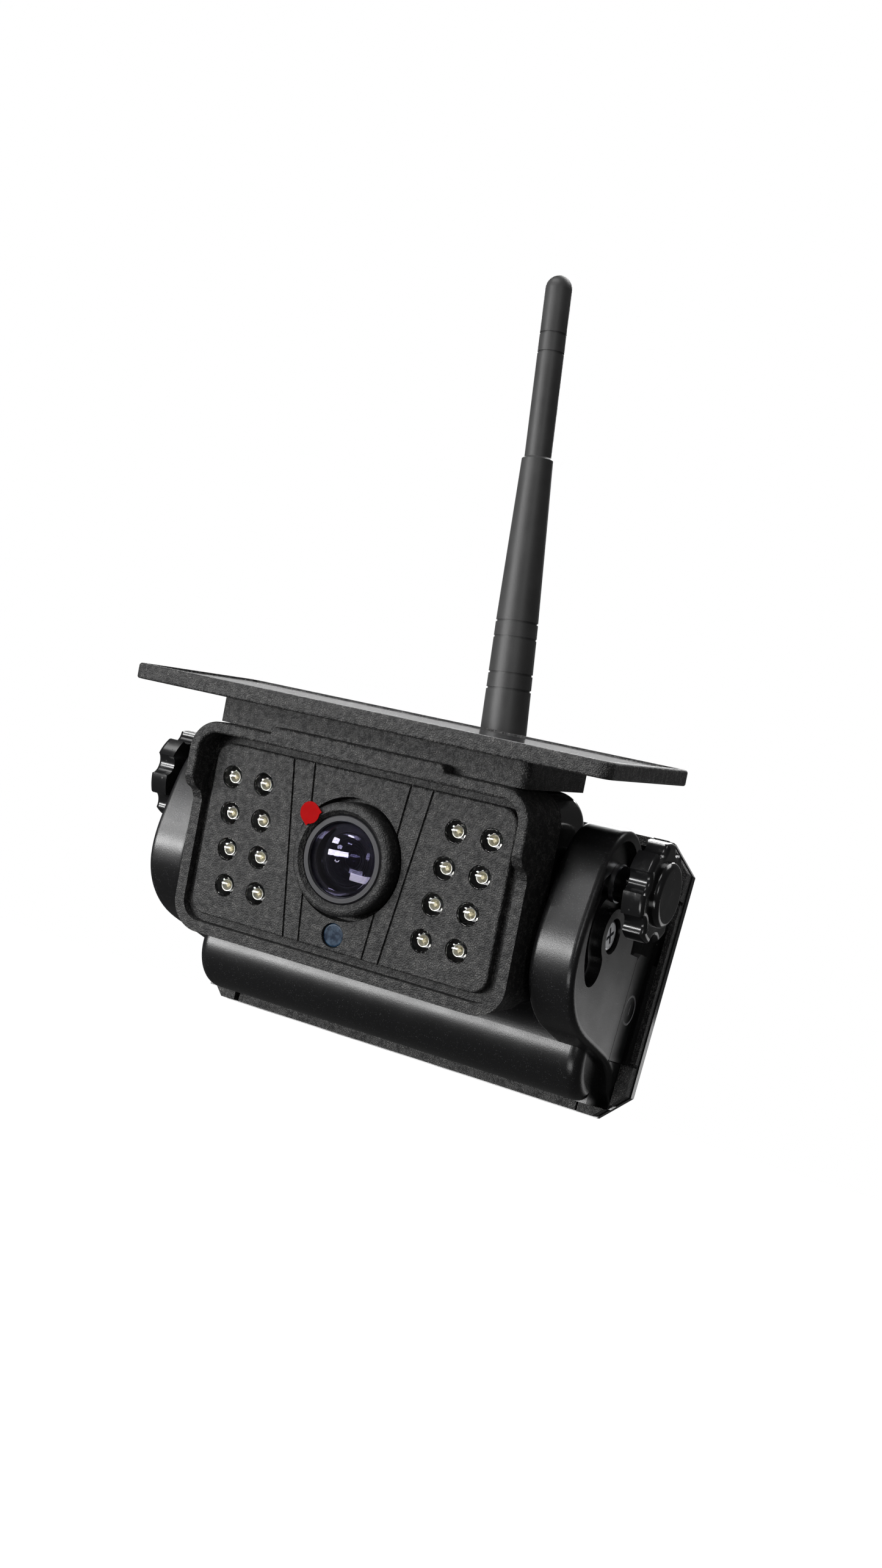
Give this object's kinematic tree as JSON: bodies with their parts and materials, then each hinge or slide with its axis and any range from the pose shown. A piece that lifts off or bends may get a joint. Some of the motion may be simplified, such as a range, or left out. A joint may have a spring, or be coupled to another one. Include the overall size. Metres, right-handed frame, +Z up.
{
  "type": "security camera",
  "caption": "Solar wireless camera with infrared lamps round its lens, tilting between two bracket arms with clamp knobs, a whip antenna and a magnetic back plate.",
  "frame": {"origin": "centre of the bracket's magnetic back face", "axes": "+X to the right of someone facing the lens, +Y out of the back face towards what it is stuck to, +Z up; the lens looks towards -Y and about 13 degrees down"},
  "size_m": [0.1304, 0.0717, 0.1831],
  "materials": {
    "satin_black": "semi-gloss moulded black with a fine sparkle",
    "gloss_black": "glossy moulded black",
    "grained_black": "fine spark-eroded grain",
    "matte_black": "flat black",
    "soft_rubber": "smooth soft rubber",
    "antenna_rubber": "smooth moulded rubber",
    "cell_wrap": "shrink sleeve",
    "zinc_steel": "bright zinc plate",
    "plated_steel": "nickel plate",
    "machined_aluminium": "dark anodised, turned",
    "brass": "gold-plated brass",
    "lens_glass": "coated glass",
    "clear_film": "clear plastic film",
    "red_film": "red plastic film",
    "clear_lamp": "clear epoxy",
    "lamp_cup": "stamped reflector cup and die",
    "circuit_board": "lacquered board",
    "sensor_blue": "filter glass",
    "solar_cell": "silicon cell",
    "panel_glass": "clear cover sheet"
  },
  "bodies": {
    "base": {"base_housing": "satin_black", "rear_cover": "gloss_black", "trim_frame": "grained_black", "magnets": "plated_steel", "back_pad": "soft_rubber", "rear_screws": "zinc_steel", "battery_cell": "cell_wrap", "battery_tabs": "plated_steel", "charge_board": "circuit_board", "port_board": "circuit_board", "charge_socket": "plated_steel"},
    "button": {"power_button": "satin_black"},
    "flap": {"port_flap": "soft_rubber"},
    "head": {"front_bezel": "grained_black", "face_plate": "grained_black", "lens_ring": "grained_black", "lens_barrel": "machined_aluminium", "front_lens": "lens_glass", "iris": "matte_black", "inner_lens": "lens_glass", "lens_film": "clear_film", "film_tab": "red_film", "led_lamps": "clear_lamp", "led_cups": "lamp_cup", "led_board": "circuit_board", "light_sensor": "sensor_blue", "image_sensor": "matte_black", "sensor_board": "circuit_board", "main_board": "circuit_board", "radio_module": "plated_steel", "head_gasket": "soft_rubber", "head_case": "gloss_black", "head_screws": "zinc_steel", "friction_washers": "soft_rubber", "pivot_screws": "zinc_steel", "clamp_nuts": "zinc_steel", "riser": "grained_black", "panel_frame": "grained_black", "panel_screws": "zinc_steel", "solar_cell": "solar_cell", "panel_glass": "panel_glass", "antenna_jack": "brass"},
    "antenna_swivel": {"antenna_swivel": "satin_black", "antenna_pin": "zinc_steel"},
    "antenna_whip": {"antenna_whip": "antenna_rubber"},
    "knob_right": {"knob_right": "gloss_black", "stud_right": "zinc_steel", "washer_right": "zinc_steel"},
    "knob_left": {"knob_left": "gloss_black", "stud_left": "zinc_steel", "washer_left": "zinc_steel"}
  },
  "joints": [
    {"name": "head_tilt", "type": "hinge", "parent": "base", "child": "head", "pos_m": [0, -0.034, 0.0057], "axis": [1, 0, 0], "range_deg": [-2, 40]},
    {"name": "knob_right_spin", "type": "hinge", "parent": "head", "child": "knob_right", "pos_m": [0.058, -0.0365, 0.01662], "axis": [1, 0, 0], "continuous": true},
    {"name": "knob_left_spin", "type": "hinge", "parent": "head", "child": "knob_left", "pos_m": [-0.058, -0.0365, 0.01662], "axis": [1, 0, 0], "continuous": true},
    {"name": "antenna_turn", "type": "hinge", "parent": "head", "child": "antenna_swivel", "pos_m": [0.0106, -0.01552, 0.02937], "axis": [0, 0.9748, 0.2233], "range_deg": [-80, 90]},
    {"name": "antenna_fold", "type": "hinge", "parent": "antenna_swivel", "child": "antenna_whip", "pos_m": [0.0106, -0.01552, 0.02937], "axis": [-0.9971, 0.0171, -0.0748], "range_deg": [0, 30]},
    {"name": "port_flap_hinge", "type": "hinge", "parent": "base", "child": "flap", "pos_m": [0.0546, -0.015, -0.00715], "axis": [0, 0, -1], "range_deg": [0, 105]},
    {"name": "power_press", "type": "slide", "parent": "base", "child": "button", "axis": [-1, 0, 0], "range_m": [0, 0.0006], "stiffness_N_per_m": 600, "springref_m": -0.0005}
  ]
}
